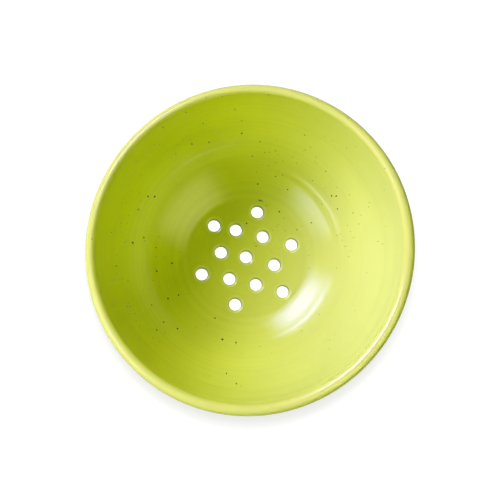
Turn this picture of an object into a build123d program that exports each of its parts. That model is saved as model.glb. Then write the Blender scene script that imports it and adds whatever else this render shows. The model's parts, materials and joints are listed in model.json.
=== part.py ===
"""A berry colander bowl: a stoneware bowl with a pierced floor, on a notched foot ring, under a glaze.

Millimetres, +Z up. The origin is the middle of the plane that the foot stands on, and +Z is the axis
that the bowl was turned about. The rows of drain holes run along X.
"""

import os
from math import asin, atan2, cos, degrees, hypot, pi, radians, sin, sqrt

from build123d import *

# Bowl, measured over the glaze
RIM_DIAMETER = 152.0
HEIGHT = 74.0
LIP_THICKNESS = 4.6
FLOOR_THICKNESS = 6.4  # in the middle, where the floor is thinnest
WALL_THICKNESS = 5.0  # at the side, level with the centre of the corner
DISH_RADIUS = 480.0  # the slight hollow of the floor, which leads water to the holes
CORNER_RADIUS = 40.0  # inside, where the floor turns up into the wall
FLOOR_MARGIN = 1.8  # plain floor between the outer holes and that corner

# Glaze, on the clay and in the holes
GLAZE = 0.5
HOLE_GLAZE = 0.4

# Drain holes, a six-pointed star of thirteen: one in the middle, six round it and six points
HOLE_DIAMETER = 5.95
HOLE_PITCH = 13.4
# Each hole was punched by hand, and lies this far from its place in the star
MIDDLE_DRIFT = [(-0.5, 0.5)]
INNER_DRIFT = [(0.4, -0.3), (-1.3, 0.3), (-1.4, 0.7), (0.5, 0.1), (0.6, 0.0), (0.4, 0.0)]
POINT_DRIFT = [(-0.2, -0.4), (0.2, -0.1), (1.2, 0.5), (0.4, -0.7), (-0.7, 0.0), (0.5, -0.6)]

# Foot ring
FOOT_HEIGHT = 6.0  # from the standing face to the glazed underside of the floor
FOOT_SETOUT = 4.0  # from the edge of the floor to the inside of the ring
FOOT_WIDTH = 5.5
FOOT_ROUNDING = 1.2  # on both edges of the standing face
BARE_FOOT = 2.2  # clay wiped clean of glaze, up from the standing face
NOTCH_COUNT = 3
NOTCH_WIDTH = 13.0
NOTCH_HEIGHT = 3.2

# Holes: the star's inner ring stands one pitch out, and its points on the next row of the lattice
POINT_RADIUS = HOLE_PITCH * sqrt(3)
HOLE_RADIUS = HOLE_DIAMETER / 2
FLOOR_RADIUS = POINT_RADIUS + HOLE_RADIUS + FLOOR_MARGIN

# Section of the bowl, in radius and height. The inside and outside corners turn about two centres
# at one height, and the walls are straight lines that touch those corners and the round lip.
LIP_RADIUS = LIP_THICKNESS / 2
LIP_CENTRE = (RIM_DIAMETER / 2 - LIP_RADIUS, HEIGHT - LIP_RADIUS)
FLOOR_Z = FOOT_HEIGHT + FLOOR_THICKNESS
DISH_ANGLE = asin(FLOOR_RADIUS / DISH_RADIUS)
DISH_TO_CORNER = DISH_RADIUS - CORNER_RADIUS
CORNER_CENTRE = (
    DISH_TO_CORNER * sin(DISH_ANGLE),
    FLOOR_Z + DISH_RADIUS - DISH_TO_CORNER * cos(DISH_ANGLE),
)
UNDER_RADIUS = CORNER_CENTRE[1] - FOOT_HEIGHT
UNDER_CENTRE = (
    CORNER_CENTRE[0] + CORNER_RADIUS + WALL_THICKNESS - UNDER_RADIUS,
    CORNER_CENTRE[1],
)
UP = LIP_CENTRE[1] - CORNER_CENTRE[1]
ACROSS = LIP_CENTRE[0] - CORNER_CENTRE[0]
UNDER_ACROSS = LIP_CENTRE[0] - UNDER_CENTRE[0]
INSIDE_SLOPE = atan2(UP, ACROSS) + asin((CORNER_RADIUS + LIP_RADIUS) / hypot(ACROSS, UP))
OUTSIDE_SLOPE = atan2(UP, UNDER_ACROSS) + asin((UNDER_RADIUS - LIP_RADIUS) / hypot(UNDER_ACROSS, UP))
QUARTER_TURN = pi / 2

# Foot ring and its notches, which are arcs of a circle centred under the standing face
FOOT_INNER_RADIUS = FLOOR_RADIUS + FOOT_SETOUT
FOOT_OUTER_RADIUS = FOOT_INNER_RADIUS + FOOT_WIDTH
NOTCH_RADIUS = (NOTCH_WIDTH**2 / 4 + NOTCH_HEIGHT**2) / (2 * NOTCH_HEIGHT)


def ring_of_holes(radius, start_angle, drifts):
    """Centres spaced evenly round a ring, each moved by its own drift."""
    step = 360 / len(drifts)
    angles = [radians(start_angle + step * index) for index in range(len(drifts))]
    return [(radius * cos(a) + dx, radius * sin(a) + dy) for a, (dx, dy) in zip(angles, drifts)]


HOLE_CENTRES = (
    ring_of_holes(0, 0, MIDDLE_DRIFT)
    + ring_of_holes(HOLE_PITCH, 0, INNER_DRIFT)
    + ring_of_holes(POINT_RADIUS, 30, POINT_DRIFT)
)


def lip_point(angle, depth):
    """A point on the lip's round section, depth beneath the glaze."""
    radius = LIP_RADIUS - depth
    return (LIP_CENTRE[0] + radius * cos(angle), LIP_CENTRE[1] + radius * sin(angle))


def inside_edge(depth):
    """Draws the inside from the axis to the lip, depth beneath the glaze."""
    floor = JernArc((0, FLOOR_Z - depth), (1, 0), DISH_RADIUS + depth, degrees(DISH_ANGLE))
    turn = degrees(INSIDE_SLOPE - DISH_ANGLE)
    corner = JernArc(floor @ 1, floor % 1, CORNER_RADIUS + depth, turn)
    Line(corner @ 1, lip_point(INSIDE_SLOPE + QUARTER_TURN, depth))


def lip_edge(depth):
    """Draws the round lip from the outside wall over its crown to the inside wall."""
    start = degrees(OUTSIDE_SLOPE - QUARTER_TURN)
    size = degrees(INSIDE_SLOPE - OUTSIDE_SLOPE + 2 * QUARTER_TURN)
    CenterArc(LIP_CENTRE, LIP_RADIUS - depth, start, size)


def outside_edge(depth):
    """Draws the underside and outside from the axis to the lip, depth beneath the glaze."""
    under = Line((0, FOOT_HEIGHT + depth), (UNDER_CENTRE[0], FOOT_HEIGHT + depth))
    corner = JernArc(under @ 1, (1, 0), UNDER_RADIUS - depth, degrees(OUTSIDE_SLOPE))
    Line(corner @ 1, lip_point(OUTSIDE_SLOPE - QUARTER_TURN, depth))


def clay_section():
    """Draws the closed section of the clay, from the axis round the lip and back."""
    inside_edge(GLAZE)
    lip_edge(GLAZE)
    outside_edge(GLAZE)
    Line((0, FOOT_HEIGHT + GLAZE), (0, FLOOR_Z - GLAZE))


def filled_clay_section():
    """Draws all that lies inside the outer face of the clay, as if the bowl were full."""
    outside_edge(GLAZE)
    brim = lip_point(OUTSIDE_SLOPE - QUARTER_TURN, GLAZE)
    Polyline(brim, (brim[0], HEIGHT), (0, HEIGHT), (0, FOOT_HEIGHT + GLAZE))


def outer_coat_section():
    """Draws the glaze on the outer face, from the axis to the lip."""
    outside_edge(0)
    outside_edge(GLAZE)
    Line((0, FOOT_HEIGHT), (0, FOOT_HEIGHT + GLAZE))
    brim_angle = OUTSIDE_SLOPE - QUARTER_TURN
    Line(lip_point(brim_angle, 0), lip_point(brim_angle, GLAZE))


def upright_strip(inner_radius, outer_radius, bottom):
    """Adds a strip of the section between two radii, from a height up to the rim."""
    with Locations((inner_radius, bottom)):
        Rectangle(outer_radius - inner_radius, HEIGHT - bottom, align=(Align.MIN, Align.MIN))


def hole_circles(radius):
    """The star of holes as a sketch of circles, each of one radius."""
    with BuildSketch() as circles:
        with Locations(*HOLE_CENTRES):
            Circle(radius)
    return circles.sketch


# A bar with the section of a drain notch, lying along +X from the axis to past the foot
with BuildPart() as notch_bar:
    with BuildSketch(Plane.YZ):
        with Locations((0, NOTCH_HEIGHT - NOTCH_RADIUS)):
            Circle(NOTCH_RADIUS)
    extrude(amount=FOOT_OUTER_RADIUS + FOOT_WIDTH)


# Clay bowl: floor, corner, wall and lip in one, with the holes punched through the floor
with BuildPart() as stoneware_body:
    with BuildSketch(Plane.XZ):
        with BuildLine():
            clay_section()
        make_face()
    revolve(axis=Axis.Z)
    extrude(hole_circles(HOLE_RADIUS + HOLE_GLAZE), amount=HEIGHT, mode=Mode.SUBTRACT)
stoneware_body.part.label = "stoneware_body"


# Clay ring joined on under the bowl, with notches that let the water out
with BuildPart() as foot_ring:
    with BuildSketch(Plane.XZ) as foot_section:
        upright_strip(FOOT_INNER_RADIUS, FOOT_OUTER_RADIUS, 0)
        with BuildLine():
            filled_clay_section()
        make_face(mode=Mode.SUBTRACT)
        fillet(foot_section.vertices().group_by(Axis.Z)[0], FOOT_ROUNDING)
    revolve(axis=Axis.Z)
    with PolarLocations(0, NOTCH_COUNT):
        add(notch_bar.part, mode=Mode.SUBTRACT)
foot_ring.part.label = "foot_ring"


# Glaze that lines the bowl, down from the lip and over the floor
with BuildPart() as inside_glaze:
    with BuildSketch(Plane.XZ):
        with BuildLine():
            inside_edge(0)
            inside_edge(GLAZE)
            Line((0, FLOOR_Z), (0, FLOOR_Z - GLAZE))
            inner_brim = INSIDE_SLOPE + QUARTER_TURN
            Line(lip_point(inner_brim, 0), lip_point(inner_brim, GLAZE))
        make_face()
    revolve(axis=Axis.Z)
    extrude(hole_circles(HOLE_RADIUS), amount=HEIGHT, mode=Mode.SUBTRACT)
inside_glaze.part.label = "inside_glaze"


# Glaze over the lip, where it runs thin and pale
with BuildPart() as rim_glaze:
    with BuildSketch(Plane.XZ):
        with BuildLine():
            lip_edge(0)
            lip_edge(GLAZE)
            for wall in (INSIDE_SLOPE + QUARTER_TURN, OUTSIDE_SLOPE - QUARTER_TURN):
                Line(lip_point(wall, 0), lip_point(wall, GLAZE))
        make_face()
    revolve(axis=Axis.Z)
rim_glaze.part.label = "rim_glaze"


# Glaze on the outside of the wall, and down the outer side of the foot to the bare clay
with BuildPart() as outside_glaze:
    with BuildSketch(Plane.XZ):
        upright_strip(FOOT_OUTER_RADIUS, FOOT_OUTER_RADIUS + GLAZE, BARE_FOOT)
        with BuildLine():
            filled_clay_section()
        make_face(mode=Mode.SUBTRACT)
        with BuildLine():
            outer_coat_section()
        make_face()
        with Locations((0, 0)):
            Rectangle(FOOT_OUTER_RADIUS, HEIGHT, align=(Align.MIN, Align.MIN), mode=Mode.SUBTRACT)
    revolve(axis=Axis.Z)
    with PolarLocations(0, NOTCH_COUNT):
        add(notch_bar.part, mode=Mode.SUBTRACT)
outside_glaze.part.label = "outside_glaze"


# Glaze under the floor, and down the inner side of the foot to the bare clay
with BuildPart() as underside_glaze:
    with BuildSketch(Plane.XZ):
        upright_strip(FOOT_INNER_RADIUS - GLAZE, FOOT_INNER_RADIUS, BARE_FOOT)
        with BuildLine():
            filled_clay_section()
        make_face(mode=Mode.SUBTRACT)
        with BuildLine():
            outer_coat_section()
        make_face()
        with Locations((FOOT_INNER_RADIUS, 0)):
            Rectangle(RIM_DIAMETER, HEIGHT, align=(Align.MIN, Align.MIN), mode=Mode.SUBTRACT)
    revolve(axis=Axis.Z)
    extrude(hole_circles(HOLE_RADIUS), amount=HEIGHT, mode=Mode.SUBTRACT)
    with PolarLocations(0, NOTCH_COUNT):
        add(notch_bar.part, mode=Mode.SUBTRACT)
underside_glaze.part.label = "underside_glaze"


# Glaze sleeves in the drain holes, as long as the clay is thick
with BuildPart() as drain_hole_glaze:
    with BuildSketch(Plane.XZ):
        with BuildLine():
            clay_section()
        make_face()
    revolve(axis=Axis.Z)
    extrude(hole_circles(HOLE_RADIUS + HOLE_GLAZE), amount=HEIGHT, mode=Mode.INTERSECT)
    extrude(hole_circles(HOLE_RADIUS), amount=HEIGHT, mode=Mode.SUBTRACT)
drain_hole_glaze.part.label = "drain_hole_glaze"


os.makedirs("parts", exist_ok=True)
for piece in (
    stoneware_body,
    foot_ring,
    inside_glaze,
    rim_glaze,
    outside_glaze,
    underside_glaze,
    drain_hole_glaze,
):
    export_step(piece.part, f"parts/{piece.part.label}.step")
    print(piece.part.label, len(piece.part.solids()), "solids", round(piece.part.volume), "mm3")

print("walls at", round(degrees(INSIDE_SLOPE), 1), "and", round(degrees(OUTSIDE_SLOPE), 1), "degrees")
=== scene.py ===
"""The berry colander bowl in its lime glaze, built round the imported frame.

Sizes are in millimetres, and become metres where a mesh is made.
"""

import json

import bmesh
import bpy
import numpy as np
from mathutils import Matrix, Vector, geometry


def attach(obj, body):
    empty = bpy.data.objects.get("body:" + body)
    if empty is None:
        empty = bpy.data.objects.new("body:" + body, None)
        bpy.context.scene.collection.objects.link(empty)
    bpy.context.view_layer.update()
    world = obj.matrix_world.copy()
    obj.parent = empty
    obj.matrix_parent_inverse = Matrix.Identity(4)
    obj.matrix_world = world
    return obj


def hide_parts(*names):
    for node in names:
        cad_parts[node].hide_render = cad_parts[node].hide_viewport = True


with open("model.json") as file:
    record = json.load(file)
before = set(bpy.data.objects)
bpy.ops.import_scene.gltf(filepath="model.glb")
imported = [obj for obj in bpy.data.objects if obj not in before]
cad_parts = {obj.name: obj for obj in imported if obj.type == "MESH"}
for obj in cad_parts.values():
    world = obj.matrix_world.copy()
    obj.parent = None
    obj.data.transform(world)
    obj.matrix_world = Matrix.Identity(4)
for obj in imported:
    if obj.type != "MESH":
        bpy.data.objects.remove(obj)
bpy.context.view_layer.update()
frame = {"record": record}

MM = 0.001

# The bowl's section, with the part's own sizes
RIM_DIAMETER = 152.0
HEIGHT = 74.0
LIP_RADIUS = 2.3
FLOOR_THICKNESS = 6.4
WALL_THICKNESS = 5.0
DISH_RADIUS = 480.0
CORNER_RADIUS = 40.0
FLOOR_MARGIN = 1.8
GLAZE = 0.5
HOLE_GLAZE = 0.4
HOLE_RADIUS = 5.95 / 2
HOLE_PITCH = 13.4
FOOT_HEIGHT = 6.0
FOOT_SETOUT = 4.0
FOOT_WIDTH = 5.5
FOOT_ROUNDING = 1.2
BARE_FOOT = 2.2
NOTCH_COUNT = 3
NOTCH_WIDTH = 13.0
NOTCH_HEIGHT = 3.2

FLOOR_RADIUS = HOLE_PITCH * 3**0.5 + HOLE_RADIUS + FLOOR_MARGIN
FOOT_INNER_RADIUS = FLOOR_RADIUS + FOOT_SETOUT
FOOT_OUTER_RADIUS = FOOT_INNER_RADIUS + FOOT_WIDTH
LIP_CENTRE = np.array([RIM_DIAMETER / 2 - LIP_RADIUS, HEIGHT - LIP_RADIUS])
FLOOR_Z = FOOT_HEIGHT + FLOOR_THICKNESS
DISH_ANGLE = np.arcsin(FLOOR_RADIUS / DISH_RADIUS)
DISH_TO_CORNER = DISH_RADIUS - CORNER_RADIUS
CORNER_CENTRE = np.array(
    [DISH_TO_CORNER * np.sin(DISH_ANGLE), FLOOR_Z + DISH_RADIUS - DISH_TO_CORNER * np.cos(DISH_ANGLE)]
)
UNDER_RADIUS = CORNER_CENTRE[1] - FOOT_HEIGHT
UNDER_CENTRE = np.array([CORNER_CENTRE[0] + CORNER_RADIUS + WALL_THICKNESS - UNDER_RADIUS, CORNER_CENTRE[1]])
IN_ACROSS, IN_UP = LIP_CENTRE - CORNER_CENTRE
OUT_ACROSS, OUT_UP = LIP_CENTRE - UNDER_CENTRE
INSIDE_SLOPE = np.arctan2(IN_UP, IN_ACROSS) + np.arcsin(
    (CORNER_RADIUS + LIP_RADIUS) / np.hypot(IN_ACROSS, IN_UP)
)
OUTSIDE_SLOPE = np.arctan2(OUT_UP, OUT_ACROSS) + np.arcsin(
    (UNDER_RADIUS - LIP_RADIUS) / np.hypot(OUT_ACROSS, OUT_UP)
)
NOTCH_RADIUS = (NOTCH_WIDTH**2 / 4 + NOTCH_HEIGHT**2) / (2 * NOTCH_HEIGHT)
CLAY_HOLE = HOLE_RADIUS + HOLE_GLAZE
QUARTER = np.pi / 2
FULL_TURN = 2 * np.pi

# What the hand and the kiln add: rounded hole edges, a filleted foot and a rim a little out of round
EDGE_SLOPE = np.radians(38)
EDGE_WIDE = 1.6
EDGE_RUN = 0.08
EDGE_TIGHT = 0.12
HOLE_ROLL = EDGE_WIDE * np.sin(EDGE_SLOPE) + EDGE_RUN + EDGE_TIGHT * (1 - np.sin(EDGE_SLOPE))
UNDER_ROLL = 0.7
UNDER_DIP = np.arccos(1 - GLAZE / UNDER_ROLL)
FOOT_FILLET = 1.6
OUT_OF_ROUND = 0.0106
OUT_OF_ROUND_GROWTH = 1.5
LONG_AXIS = np.radians(68.7)
LIP_SPREAD = 0.8
LIP_SPREAD_EVEN = 0.4
LIP_SPREAD_DEPTH = 20.0
LIP_SPREAD_EASE = 18.0
LIP_SPREAD_FROM = 0.6
BROAD_SIDE = np.radians(317.0)

# How pale the glaze is drawn, from 0 for a thick coat to 1 for the thinnest: COAT in most places, otherwise
# on the lining, which is painted paler where it is lit most and deeper where it is shaded, a painted light
# and shade;
# in the holes and over their shoulders; and where the lip is painted deeper in tone, a painted shade
COAT = 0.47
# Painted light and shade on the lining: the turn it is palest towards, where it starts, and how pale it gets
# at most
PAINTED_LIGHT_SIDE = np.radians(356.0)
PAINTED_LIGHT_FROM = 0.5
PAINTED_LIGHT_MOST = 0.8
# In the holes the glaze is drawn deeper, partly pooling glaze and partly painted shade at the edges; over
# their shoulders it is drawn paler, partly glaze drawn back and partly a painted reflection
POOL_AND_SHADE_WIDTH = 0.3
SHOULDER = 0.9
SHOULDER_WIDTH = 0.35
SHOULDER_PALENESS = 0.6
# Painted shade on the lip, on the side the lamps light most: the turn it centres on, its reach and its depth
PAINTED_SHADE_LIP = np.radians(157.0)
PAINTED_SHADE_LIP_REACH = np.radians(75.0)
PAINTED_SHADE_LIP_TONE = 0.45

# The glaze's rounded lower edge on the foot, as two points in and down from it, and the edges of the notches
BEAD = np.array([[0.1, 0.12], [0.3, 0.14]])
THIN_AT_FOOT = 0.5
NOTCH_KEPT_OFF = 0.35
NOTCH_SOFTNESS = 0.5
NOTCHED_BELOW = FOOT_HEIGHT - 0.5

# How finely the surfaces are divided
TURN, HOLE_TURN, FOOT_TURN = (np.linspace(0, FULL_TURN, count, endpoint=False) for count in (420, 48, 720))
FINE_TO_RADIUS = 52.0
FINE_ROWS = 96
WALL_ROWS = 75
HOLE_RINGS = (0.0, 0.3, 0.7)
LATTICE_ROW = 0.75**0.5
LATTICE_CLEAR = 0.6
DISC_CLEAR = 0.5
WELD = 1e-7
FLOOR_DISC = 31.0
UNDER_DISC = FOOT_INNER_RADIUS - GLAZE - FOOT_FILLET

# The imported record's drain boxes are centred on the holes
OPENINGS = frame["record"]["physics"]["openings"]
DRAINS = [opening["box_m"] for opening in OPENINGS if opening["name"].startswith("drain_hole")]
HOLES = np.mean(DRAINS, axis=1)[:, :2] / MM


def polar(points):
    """Distance off the axis, and turn round it."""
    return np.hypot(points[..., 0], points[..., 1]), np.arctan2(points[..., 1], points[..., 0])


def around(turn):
    """The flat unit vector at a turn."""
    return np.stack([np.cos(turn), np.sin(turn)], -1)


def round_axis(r, turn, z):
    """Points by distance off the axis, turn and height: (r cos turn, r sin turn, z)."""
    return np.stack(np.broadcast_arrays(r * np.cos(turn), r * np.sin(turn), z), -1)


def off_turn(turn, middle, whole=FULL_TURN):
    """How far a turn lies off another one, by half of a whole at most."""
    return (turn - middle + whole / 2) % whole - whole / 2


def from_holes(points):
    """Distance from the axis of the nearest hole."""
    return np.linalg.norm(points[:, None, :2] - HOLES, axis=2).min(1)


def swung(angle):
    """The section's unit vector at an angle from straight down: (sin a, -cos a)."""
    return np.stack([np.sin(angle), -np.cos(angle)], -1)


def bow(centre, radius, start, stop, side, step=0.6):
    """An arc of the section and its normals: centre plus radius times (sin a, -cos a), with a measured
    from straight down. side is 1 where the air lies outside the arc and -1 where it lies inside."""
    count = max(3, int(abs(stop - start) * radius / step) + 1)
    way = swung(np.linspace(start, stop, count))
    return centre + radius * way, side * way


def run(start, stop, normal, step=0.6):
    """A straight run of the section between two points, with one normal all along it."""
    start, stop = np.asarray(start, float), np.asarray(stop, float)
    count = max(2, int(np.hypot(*(stop - start)) / step) + 1)
    t = np.linspace(0, 1, count)[:, None]
    return start + t * (stop - start), np.tile(np.asarray(normal, float), (count, 1))


def chain(*parts):
    """Joins runs and arcs end to end, and drops the points that they share."""
    points = np.concatenate([p for p, _ in parts])
    normals = np.concatenate([n for _, n in parts])
    gap = np.hypot(*np.diff(points, axis=0).T)
    keep = np.concatenate([[True], gap > 1e-6])
    return points[keep], normals[keep]


def lengths(points):
    """Distance along a section from its first point."""
    return np.concatenate([[0], np.cumsum(np.hypot(*np.diff(points, axis=0).T))])


def lip_point(angle, depth):
    """A point on the lip's circle, depth beneath the glaze, at an angle from straight down."""
    return LIP_CENTRE + (LIP_RADIUS - depth) * swung(angle)


def inside_section(depth, step=0.6):
    """The inside from the axis to the lip: the dished floor, the round corner and the straight wall."""
    dish = bow(np.array([0, FLOOR_Z + DISH_RADIUS]), DISH_RADIUS + depth, 0, DISH_ANGLE, -1, step)
    corner = bow(CORNER_CENTRE, CORNER_RADIUS + depth, DISH_ANGLE, INSIDE_SLOPE, -1, step)
    wall = run(corner[0][-1], lip_point(INSIDE_SLOPE + np.pi, depth), -swung(INSIDE_SLOPE), step)
    return chain(dish, corner, wall)


def lip_section(depth, step=0.3):
    """The round lip, from the inside wall over the crown to the outside wall."""
    return bow(LIP_CENTRE, LIP_RADIUS - depth, INSIDE_SLOPE + np.pi, OUTSIDE_SLOPE, 1, step)


def outside_section(depth, step=0.7):
    """The outside from the lip to the foot's side: the straight wall, the round corner, a fillet that
    touches the corner and the foot, and the foot's outer side down to the bare clay."""
    side = FOOT_OUTER_RADIUS + GLAZE - depth
    fillet = FOOT_FILLET + depth
    reach = UNDER_RADIUS - depth + fillet
    meet = np.arcsin((side + fillet - UNDER_CENTRE[0]) / reach)
    fillet_centre = UNDER_CENTRE + reach * swung(meet)
    corner = bow(UNDER_CENTRE, UNDER_RADIUS - depth, OUTSIDE_SLOPE, meet, 1, step)
    wall = run(lip_point(OUTSIDE_SLOPE, depth), corner[0][0], swung(OUTSIDE_SLOPE), step)
    turn = bow(fillet_centre, fillet, meet + np.pi, 3 * QUARTER, -1, step=0.25)
    foot = run(turn[0][-1], [side, BARE_FOOT], [1, 0], step=0.4)
    return chain(wall, corner, turn, foot)


def underside_section(depth):
    """The underside from its flat disc out: a fillet into the foot and the foot's inner side down to
    the bare clay."""
    side = FOOT_INNER_RADIUS - GLAZE + depth
    centre = np.array([UNDER_DISC, FOOT_HEIGHT - FOOT_FILLET])
    turn = bow(centre, FOOT_FILLET + depth, np.pi, QUARTER, -1, step=0.25)
    foot = run(turn[0][-1], [side, BARE_FOOT], [-1, 0], step=0.4)
    return chain(turn, foot)


INSIDE, INSIDE_NORMAL = inside_section(0, step=0.25)
INSIDE_LENGTH = lengths(INSIDE)
CLAY_INSIDE, _ = inside_section(GLAZE, step=0.25)

# Throwing rings: fine ones of several widths, and ridges that the fingers left, two at the corner and four on
# the wall. Each ridge has a turn that it centres on and reaches to either side of, a radius, a height, and a
# width towards the floor and one towards the lip.
RING_SEED = 11
RING_WIDTH = np.array([2.1, 2.6, 3.1, 3.7, 4.6, 5.7, 7.4])
RING_STEEPNESS = np.array([0.004, 0.005, 0.006, 0.006, 0.005, 0.004, 0.004])
RING_PHASE = np.random.default_rng(RING_SEED).uniform(0, FULL_TURN, RING_WIDTH.size)
RING_SPIRAL = np.array([1, 0, 1, 0, 1, 0, 1])
RING_FROM = 12.0
RING_FADE_IN = 30.0
RING_FADE_OUT = 4.0
RIDGES = (
    (-28.0, 60.0, 39.9, 0.115, 2.2, 1.4),
    (47.0, 50.0, 45.2, 0.25, 1.9, 1.9),
    *((253.0, 28.0, r, up, 1.7, 1.7) for r, up in ((56.7, 0.12), (60.1, 0.17), (62.4, 0.22), (64.5, 0.14))),
)

# The outside's rings, which fade at both ends, and the height that its ring tones count down from
OUTER_RING_WIDTH = np.array([3.3, 5.1, 8.3])
OUTER_RING_HEIGHT = np.array([0.010, 0.018, 0.030])
OUTER_RING_SPIRAL = np.array([1, 0, 1])
OUTER_RING_END = 62.0
OUTER_RING_FADE = 8.0
OUTER_TONES_FROM = 150.0


def ring_relief(along, turn):
    """Height of the throwing rings over the smooth section: a sum of sine waves along the section, each
    as steep as RING_STEEPNESS says, some of them one turn of a spiral, and the ridges, bell-shaped across
    and dying out like 1 - t squared towards both ends. The waves fade in from the floor's middle and out
    at the lip."""
    wave = FULL_TURN * along[..., None] / RING_WIDTH + RING_SPIRAL * turn[..., None] + RING_PHASE
    fine = (np.sin(wave) * RING_STEEPNESS * RING_WIDTH / FULL_TURN).sum(-1)
    end = INSIDE_LENGTH[-1]
    fade_in = np.clip((along - RING_FROM) / RING_FADE_IN, 0, 1)
    height = fine * fade_in * np.clip((end - along) / RING_FADE_OUT, 0, 1)
    for middle, reach, radius, rise, inner, outer in RIDGES:
        off = off_turn(turn, np.radians(middle))
        across = along - np.interp(radius, INSIDE[:, 0], INSIDE_LENGTH)
        taper = np.clip(1 - (off / np.radians(reach)) ** 2, 0, 1)
        height = height + rise * taper * np.exp(-((across / np.where(across < 0, inner, outer)) ** 2))
    return height


def inside_point(along, turn, lift=0.0):
    """A point of the glazed inside at a length along the section and a turn round the axis: the section's
    point moved along its normal by the ring relief and by lift."""
    r, z, nr, nz = (np.interp(along, INSIDE_LENGTH, v) for v in (*INSIDE.T, *INSIDE_NORMAL.T))
    height = ring_relief(along, turn) + lift
    return round_axis(r + nr * height, turn, z + nz * height)


def smooth(t):
    """Eases from 0 to 1 while t goes from 0 to 1: 3 t squared less 2 t cubed."""
    t = np.clip(t, 0, 1)
    return t * t * (3 - 2 * t)


def towards(turn, middle, reach):
    """1 at one turn, falling like a squared cosine to 0 at reach on either side of it and from there on."""
    return np.cos(np.clip(off_turn(turn, middle) / reach, -1, 1) * QUARTER) ** 2


def as_thrown(points):
    """Puts the hand's small errors into the round shape. The bowl is longer along one axis and narrower
    across, from nothing at the floor to OUT_OF_ROUND at the rim: x and y times 1 + e cos 2(turn - axis). The
    lip is broader inwards on one side and a little narrower on the other, by LIP_SPREAD times
    LIP_SPREAD_EVEN + cos(turn - side), easing in up the wall and across the lip."""
    r, turn = polar(points)
    share = np.clip((points[:, 2] - FLOOR_Z) / (HEIGHT - FLOOR_Z), 0, 1) ** OUT_OF_ROUND_GROWTH
    factor = 1 + OUT_OF_ROUND * share * np.cos(2 * (turn - LONG_AXIS))
    broad = LIP_SPREAD_EVEN + np.cos(turn - BROAD_SIDE)
    from_lip = np.stack([r, points[:, 2]], 1) - LIP_CENTRE
    outward = from_lip @ swung(INSIDE_SLOPE)
    inner = smooth((LIP_SPREAD_FROM - outward / LIP_RADIUS) / (LIP_SPREAD_FROM + 1))
    rise = smooth((points[:, 2] - HEIGHT + LIP_SPREAD_DEPTH) / LIP_SPREAD_EASE)
    factor = factor - LIP_SPREAD * broad * inner * rise / np.maximum(r, 1)
    return points * np.stack([factor, factor, np.ones_like(factor)], 1)


def grid_faces(rows, columns, closed=False):
    """Quads of a grid that is closed round its columns, and round its rows too where asked."""
    here = np.arange(rows * columns).reshape(rows, columns)
    down = np.roll(here, -1, 0)
    quads = np.stack([here, np.roll(here, -1, 1), np.roll(down, -1, 1), down], -1)
    return quads[: rows if closed else rows - 1].reshape(-1, 4)


def turned(section, turn=TURN, closed=False):
    """Carries a section, or a closed loop, round the axis: (r cos turn, r sin turn, z) on a grid."""
    points = round_axis(section[:, :1], turn, section[:, 1:]).reshape(-1, 3)
    return points, grid_faces(len(section), len(turn), closed)


def pierced_disc(rim, holes_at, spacing, height):
    """A round sheet with the drain holes left out. Its points are the rim circle, rings round each hole
    and a triangular lattice between them, joined into triangles; one with all its corners on one hole's edge
    lies in the hole and is dropped. height gives z from x and y."""
    circle = around(HOLE_TURN)
    rings = [(HOLES[:, None] + (holes_at + out) * circle).reshape(-1, 2) for out in HOLE_RINGS]
    edge = rim * around(TURN)
    count = int(rim / (spacing * LATTICE_ROW)) + 2
    i, j = np.indices((2 * count + 1, 2 * count + 1)) - count
    lattice = np.stack([(i + 0.5 * (j % 2)).ravel(), (j * LATTICE_ROW).ravel()], 1) * spacing
    keep_off = LATTICE_CLEAR * spacing
    clear = from_holes(lattice) > holes_at + HOLE_RINGS[-1] + keep_off
    lattice = lattice[clear & (np.hypot(*lattice.T) < rim - keep_off)]
    flat = np.concatenate([edge, *rings, lattice])
    hole_loops = len(edge) + np.arange(len(rings[0])).reshape(len(HOLES), -1)
    edges = []
    for loop in (np.arange(len(edge)), *hole_loops):
        edges += np.stack([loop, np.roll(loop, -1)], 1).tolist()
    found = geometry.delaunay_2d_cdt([Vector(p) for p in flat], edges, [], 0, 1e-6)
    flat, faces = np.array(found[0]), np.array(found[2])
    on_edge = np.abs(np.linalg.norm(flat[:, None] - HOLES, axis=2) - holes_at) < 0.001
    faces = faces[~on_edge[faces].all(1).any(1)]
    return np.column_stack([flat, height(flat)]), faces


def hole_strips(radii, heights):
    """Rings carried round every hole at once: each row has one radius from the hole's axis, and heights
    gives its z from x and y. Returns the points of all the holes and their quads."""
    flat = HOLES[:, None, None] + np.asarray(radii)[:, None, None] * around(HOLE_TURN)
    z = np.stack([h(flat[:, row]) for row, h in enumerate(heights)], 1)
    points = np.concatenate([flat, z[..., None]], -1).reshape(-1, 3)
    one = grid_faces(len(radii), len(HOLE_TURN))
    shift = np.arange(len(HOLES))[:, None, None] * len(radii) * len(HOLE_TURN)
    return points, (one + shift).reshape(-1, 4)


def joined(*pieces):
    """Puts point and face arrays one after another, with the faces counted on."""
    first = np.cumsum([0] + [len(p) for p, _ in pieces])
    return np.concatenate([p for p, _ in pieces]), [f + shift for (_, f), shift in zip(pieces, first)]


def placed(name, data):
    """A new object in the scene."""
    made = bpy.data.objects.new(name, data)
    bpy.context.scene.collection.objects.link(made)
    return made


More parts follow.
